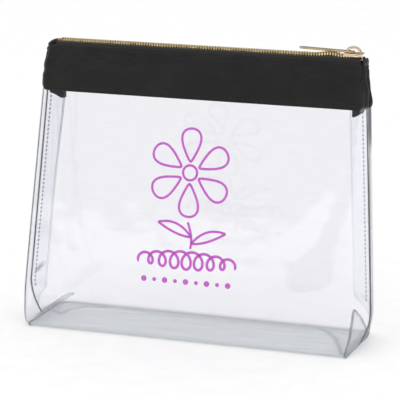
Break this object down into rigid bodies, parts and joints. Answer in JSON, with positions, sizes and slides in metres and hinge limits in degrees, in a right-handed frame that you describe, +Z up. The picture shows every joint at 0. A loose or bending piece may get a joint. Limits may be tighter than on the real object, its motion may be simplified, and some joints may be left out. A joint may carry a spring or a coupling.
{
  "type": "makeup bag",
  "caption": "Clear boxed-corner vinyl make-up bag that stands on its base, with a black fabric band along the mouth and a gold zip whose slider carries a long pull tab.",
  "frame": {"origin": "middle of the base, on the surface the bag stands on", "axes": "+X to the bag's right along the zip, +Y to its back, +Z up"},
  "size_m": [0.248, 0.062, 0.2038],
  "materials": {
    "clear_vinyl": "clear glossy PVC sheet, 0.5 mm, faintly blue, darker along folds and cut edges",
    "clear_thread": "translucent nylon sewing thread",
    "black_satin": "black satin-faced nylon cloth with a soft sheen",
    "zip_tape": "black woven zip tape",
    "black_thread": "black polyester sewing thread",
    "gold_zip": "polished light gold plating"
  },
  "bodies": {
    "bag_base": {"base_panel": "clear_vinyl", "left_side_front": "clear_vinyl", "left_side_back": "clear_vinyl", "left_side_seam": "clear_vinyl", "left_side_stitching": "clear_thread", "left_corner_flap": "clear_vinyl", "left_corner_stitching": "clear_thread", "left_band_end": "black_satin", "left_band_tail": "black_satin", "left_zip_end_tab": "black_satin", "right_side_front": "clear_vinyl", "right_side_back": "clear_vinyl", "right_side_seam": "clear_vinyl", "right_side_stitching": "clear_thread", "right_corner_flap": "clear_vinyl", "right_corner_stitching": "clear_thread", "right_band_end": "black_satin", "right_band_tail": "black_satin", "right_zip_end_tab": "black_satin"},
    "front_wall": {"front_panel": "clear_vinyl", "front_band": "black_satin", "front_band_facing": "black_satin", "front_zip_tape": "zip_tape", "front_teeth": "gold_zip", "front_top_stitching": "black_thread", "front_hem_stitching": "black_thread"},
    "back_wall": {"back_panel": "clear_vinyl", "back_band": "black_satin", "back_band_facing": "black_satin", "back_zip_tape": "zip_tape", "back_teeth": "gold_zip", "back_top_stitching": "black_thread", "back_hem_stitching": "black_thread"},
    "slider": {"slider_body": "gold_zip"},
    "pull": {"pull_tab": "gold_zip"}
  },
  "joints": [
    {"name": "slider_slide", "type": "slide", "parent": "bag_base", "child": "slider", "axis": [1, 0, 0], "range_m": [-0.2015, 0]},
    {"name": "front_wall_open", "type": "hinge", "parent": "bag_base", "child": "front_wall", "pos_m": [0, -0.031, 0], "axis": [1, 0, 0], "range_deg": [0, 10], "deforming": ["front_teeth", "front_zip_tape"]},
    {"name": "back_wall_open", "type": "hinge", "parent": "bag_base", "child": "back_wall", "pos_m": [0, 0.031, 0], "axis": [-1, 0, 0], "range_deg": [0, 10], "deforming": ["back_teeth", "back_zip_tape"]},
    {"name": "pull_swing", "type": "hinge", "parent": "slider", "child": "pull", "pos_m": [0.10835, 0, 0.1998], "axis": [0, 1, 0], "range_deg": [0, 180]}
  ],
  "couplings": [
    {"joint": "front_wall_open", "follows": "slider_slide", "rad_per_m": -0.866},
    {"joint": "back_wall_open", "follows": "slider_slide", "rad_per_m": -0.866}
  ]
}
